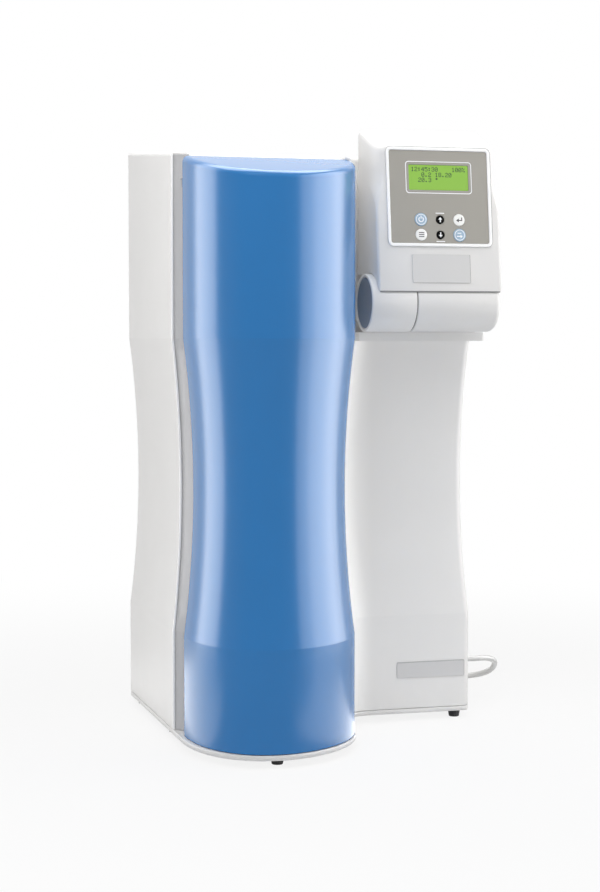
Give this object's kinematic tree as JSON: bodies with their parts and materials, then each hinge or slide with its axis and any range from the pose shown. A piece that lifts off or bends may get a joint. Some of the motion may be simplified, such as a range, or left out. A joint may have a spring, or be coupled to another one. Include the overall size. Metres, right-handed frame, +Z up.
{
  "type": "laboratory water purification system",
  "caption": "Waisted bench casing on feet with a bulged side-hinged cartridge door, a tilting display head with keys, and a looped hose at its side.",
  "frame": {"origin": "middle of the outside box without the hose and its ports, on the surface that the feet stand on", "axes": "+X to the unit's right as seen from the front, +Y to the rear, +Z up"},
  "size_m": [0.3976, 0.372, 0.614],
  "materials": {
    "white_casing": "satin painted plastic",
    "blue_door": "satin-gloss moulded plastic",
    "grey_plastic": "matt plastic",
    "black_rubber": "matt rubber",
    "black_plastic": "satin plastic",
    "steel": "satin steel",
    "blue_grey_cap": "satin plastic",
    "green_display": "clear window over a lit display",
    "white_key": "smooth plastic",
    "light_blue_key": "smooth plastic",
    "circuit_board": "solder mask",
    "cartridge_plastic": "moulded plastic",
    "brass": "machined",
    "white_tube": "extruded plastic"
  },
  "bodies": {
    "cabinet": {"base_tray": "white_casing", "left_shell": "white_casing", "tower_shell": "white_casing", "rear_panel": "white_casing", "top_cover": "white_casing", "bay_back_wall": "white_casing", "bay_side_wall": "white_casing", "name_plate": "white_casing", "head_bracket": "white_casing", "fixed_knuckle": "white_casing", "door_catch": "grey_plastic", "cartridge_cradle": "grey_plastic", "cartridge_head": "grey_plastic", "module_saddle": "grey_plastic", "pump_head": "grey_plastic", "water_manifold": "grey_plastic", "conductivity_cell": "grey_plastic", "hose_port_high": "grey_plastic", "hose_port_low": "grey_plastic", "foot_front": "black_rubber", "foot_left_front": "black_rubber", "foot_right_front": "black_rubber", "foot_left_rear": "black_rubber", "foot_right_rear": "black_rubber", "mains_inlet": "black_plastic", "door_hinge_bottom": "steel", "door_hinge_top": "steel", "pivot_shaft": "steel", "pump_motor": "steel", "power_supply": "steel", "knuckle_end_cap": "blue_grey_cap", "control_board": "circuit_board", "pretreatment_cartridge": "cartridge_plastic", "inlet_valve": "brass", "flush_valve": "brass", "osmosis_module_left": "white_tube", "osmosis_module_right": "white_tube", "feed_port": "white_tube", "permeate_port": "white_tube", "drain_port": "white_tube", "link_hose": "white_tube"},
    "door": {"door_shell": "blue_door", "door_lug_bottom": "blue_door", "door_lug_top": "blue_door", "door_strike": "steel"},
    "display_head": {"head_shell": "white_casing", "head_back_cover": "white_casing", "head_barrel": "white_casing", "keypad_bezel": "white_casing", "keypad_panel": "grey_plastic", "display_module": "green_display", "display_board": "circuit_board", "head_plate": "white_casing"},
    "key_power": {"key_power": "light_blue_key"},
    "key_up": {"key_up": "black_plastic"},
    "key_enter": {"key_enter": "white_key"},
    "key_menu": {"key_menu": "white_key"},
    "key_down": {"key_down": "black_plastic"},
    "key_flush": {"key_flush": "light_blue_key"},
    "power_switch": {"power_switch": "black_plastic"}
  },
  "joints": [
    {"name": "door_hinge", "type": "hinge", "parent": "cabinet", "child": "door", "pos_m": [-0.157, -0.07, 0.0133], "axis": [0, 0, -1], "range_deg": [0, 105]},
    {"name": "head_tilt", "type": "hinge", "parent": "cabinet", "child": "display_head", "pos_m": [0.0286, -0.0536, 0.4375], "axis": [1, 0, 0], "range_deg": [-3, 20]},
    {"name": "key_power_press", "type": "slide", "parent": "display_head", "child": "key_power", "axis": [0, 0.9938, -0.1115], "range_m": [0, 0.0006], "stiffness_N_per_m": 300},
    {"name": "key_up_press", "type": "slide", "parent": "display_head", "child": "key_up", "axis": [0, 0.9938, -0.1115], "range_m": [0, 0.0006], "stiffness_N_per_m": 300},
    {"name": "key_enter_press", "type": "slide", "parent": "display_head", "child": "key_enter", "axis": [0, 0.9938, -0.1115], "range_m": [0, 0.0006], "stiffness_N_per_m": 300},
    {"name": "key_menu_press", "type": "slide", "parent": "display_head", "child": "key_menu", "axis": [0, 0.9938, -0.1115], "range_m": [0, 0.0006], "stiffness_N_per_m": 300},
    {"name": "key_down_press", "type": "slide", "parent": "display_head", "child": "key_down", "axis": [0, 0.9938, -0.1115], "range_m": [0, 0.0006], "stiffness_N_per_m": 300},
    {"name": "key_flush_press", "type": "slide", "parent": "display_head", "child": "key_flush", "axis": [0, 0.9938, -0.1115], "range_m": [0, 0.0006], "stiffness_N_per_m": 300},
    {"name": "power_switch_rock", "type": "hinge", "parent": "cabinet", "child": "power_switch", "pos_m": [0.084, 0.1625, 0.3145], "axis": [1, 0, 0], "range_deg": [0, 16]}
  ]
}
